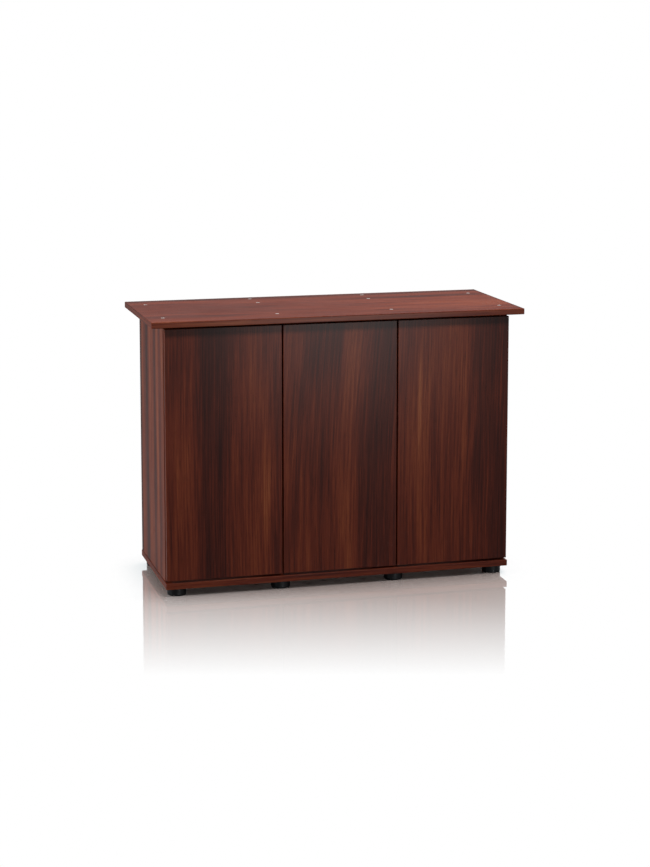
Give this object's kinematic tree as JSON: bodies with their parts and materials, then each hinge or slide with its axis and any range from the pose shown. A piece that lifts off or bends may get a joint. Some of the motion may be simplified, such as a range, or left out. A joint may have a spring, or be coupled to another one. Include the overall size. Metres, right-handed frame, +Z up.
{
  "type": "aquarium cabinet",
  "caption": "Low aquarium cabinet of dark wood-grain boards: overhanging tank top, push-to-open doors on concealed hinges, partitions, shelves and round levelling feet.",
  "frame": {"origin": "on the floor under the middle of the top panel", "axes": "+X to the right of someone facing the doors, +Y to the back, +Z up; the doors face -Y"},
  "size_m": [1.01, 0.41, 0.73],
  "materials": {
    "walnut_board": "satin wood-grain laminate on board",
    "zinc": "bright zinc",
    "beech": "plain turned wood",
    "black_plastic": "moulded",
    "grey_plastic": "moulded",
    "light_plastic": "moulded",
    "nickel": "nickel plated"
  },
  "bodies": {
    "carcass": {"bottom_panel": "walnut_board", "bottom_screws": "zinc", "foot_sockets": "black_plastic", "hinge_clamp_screws": "nickel", "hinge_plate_screws": "nickel", "latch_screws": "nickel", "left_door_hinge_arms": "nickel", "left_door_hinge_plates": "nickel", "left_latch_housing": "grey_plastic", "left_partition": "walnut_board", "left_shelf": "walnut_board", "left_side_panel": "walnut_board", "lower_rear_rail": "walnut_board", "middle_door_hinge_arms": "nickel", "middle_door_hinge_plates": "nickel", "middle_latch_housing": "grey_plastic", "right_door_hinge_arms": "nickel", "right_door_hinge_plates": "nickel", "right_latch_housing": "grey_plastic", "right_partition": "walnut_board", "right_shelf": "walnut_board", "right_side_panel": "walnut_board", "shelf_pins": "nickel", "top_panel": "walnut_board", "top_screws": "zinc", "upper_rear_rail": "walnut_board", "wooden_dowels": "beech"},
    "left_door": {"left_door": "walnut_board", "left_door_hinge_cups": "nickel", "left_door_hinge_pins": "nickel", "left_door_cup_screws": "nickel", "left_door_strike_plate": "nickel"},
    "left_plunger": {"left_latch_plunger": "light_plastic"},
    "middle_door": {"middle_door": "walnut_board", "middle_door_hinge_cups": "nickel", "middle_door_hinge_pins": "nickel", "middle_door_cup_screws": "nickel", "middle_door_strike_plate": "nickel"},
    "middle_plunger": {"middle_latch_plunger": "light_plastic"},
    "right_door": {"right_door": "walnut_board", "right_door_hinge_cups": "nickel", "right_door_hinge_pins": "nickel", "right_door_cup_screws": "nickel", "right_door_strike_plate": "nickel"},
    "right_plunger": {"right_latch_plunger": "light_plastic"},
    "foot_front_inner_left": {"foot_front_inner_left": "black_plastic"},
    "foot_front_inner_right": {"foot_front_inner_right": "black_plastic"},
    "foot_front_outer_left": {"foot_front_outer_left": "black_plastic"},
    "foot_front_outer_right": {"foot_front_outer_right": "black_plastic"},
    "foot_rear_inner_left": {"foot_rear_inner_left": "black_plastic"},
    "foot_rear_inner_right": {"foot_rear_inner_right": "black_plastic"},
    "foot_rear_outer_left": {"foot_rear_outer_left": "black_plastic"},
    "foot_rear_outer_right": {"foot_rear_outer_right": "black_plastic"}
  },
  "joints": [
    {"name": "left_door_hinge", "type": "hinge", "parent": "carcass", "child": "left_door", "pos_m": [-0.46101, -0.178, 0.376], "axis": [0, 0, -1], "range_deg": [0, 95]},
    {"name": "left_latch_push", "type": "slide", "parent": "carcass", "child": "left_plunger", "axis": [0, -1, 0], "range_m": [0, 0.014]},
    {"name": "middle_door_hinge", "type": "hinge", "parent": "carcass", "child": "middle_door", "pos_m": [-0.14767, -0.178, 0.376], "axis": [0, 0, -1], "range_deg": [0, 95]},
    {"name": "middle_latch_push", "type": "slide", "parent": "carcass", "child": "middle_plunger", "axis": [0, -1, 0], "range_m": [0, 0.014]},
    {"name": "right_door_hinge", "type": "hinge", "parent": "carcass", "child": "right_door", "pos_m": [0.46101, -0.178, 0.376], "axis": [0, 0, 1], "range_deg": [0, 95]},
    {"name": "right_latch_push", "type": "slide", "parent": "carcass", "child": "right_plunger", "axis": [0, -1, 0], "range_m": [0, 0.014]},
    {"name": "foot_front_inner_left_turn", "type": "hinge", "parent": "carcass", "child": "foot_front_inner_left", "pos_m": [-0.15667, -0.152, 0.011], "axis": [0, 0, 1], "continuous": true},
    {"name": "foot_front_inner_right_turn", "type": "hinge", "parent": "carcass", "child": "foot_front_inner_right", "pos_m": [0.15667, -0.152, 0.011], "axis": [0, 0, 1], "continuous": true},
    {"name": "foot_front_outer_left_turn", "type": "hinge", "parent": "carcass", "child": "foot_front_outer_left", "pos_m": [-0.437, -0.152, 0.011], "axis": [0, 0, 1], "continuous": true},
    {"name": "foot_front_outer_right_turn", "type": "hinge", "parent": "carcass", "child": "foot_front_outer_right", "pos_m": [0.437, -0.152, 0.011], "axis": [0, 0, 1], "continuous": true},
    {"name": "foot_rear_inner_left_turn", "type": "hinge", "parent": "carcass", "child": "foot_rear_inner_left", "pos_m": [-0.15667, 0.15, 0.011], "axis": [0, 0, 1], "continuous": true},
    {"name": "foot_rear_inner_right_turn", "type": "hinge", "parent": "carcass", "child": "foot_rear_inner_right", "pos_m": [0.15667, 0.15, 0.011], "axis": [0, 0, 1], "continuous": true},
    {"name": "foot_rear_outer_left_turn", "type": "hinge", "parent": "carcass", "child": "foot_rear_outer_left", "pos_m": [-0.437, 0.15, 0.011], "axis": [0, 0, 1], "continuous": true},
    {"name": "foot_rear_outer_right_turn", "type": "hinge", "parent": "carcass", "child": "foot_rear_outer_right", "pos_m": [0.437, 0.15, 0.011], "axis": [0, 0, 1], "continuous": true}
  ],
  "couplings": [
    {"joint": "left_latch_push", "follows": "left_door_hinge", "m_per_rad": 0.00844},
    {"joint": "middle_latch_push", "follows": "middle_door_hinge", "m_per_rad": 0.00844},
    {"joint": "right_latch_push", "follows": "right_door_hinge", "m_per_rad": 0.00844}
  ]
}
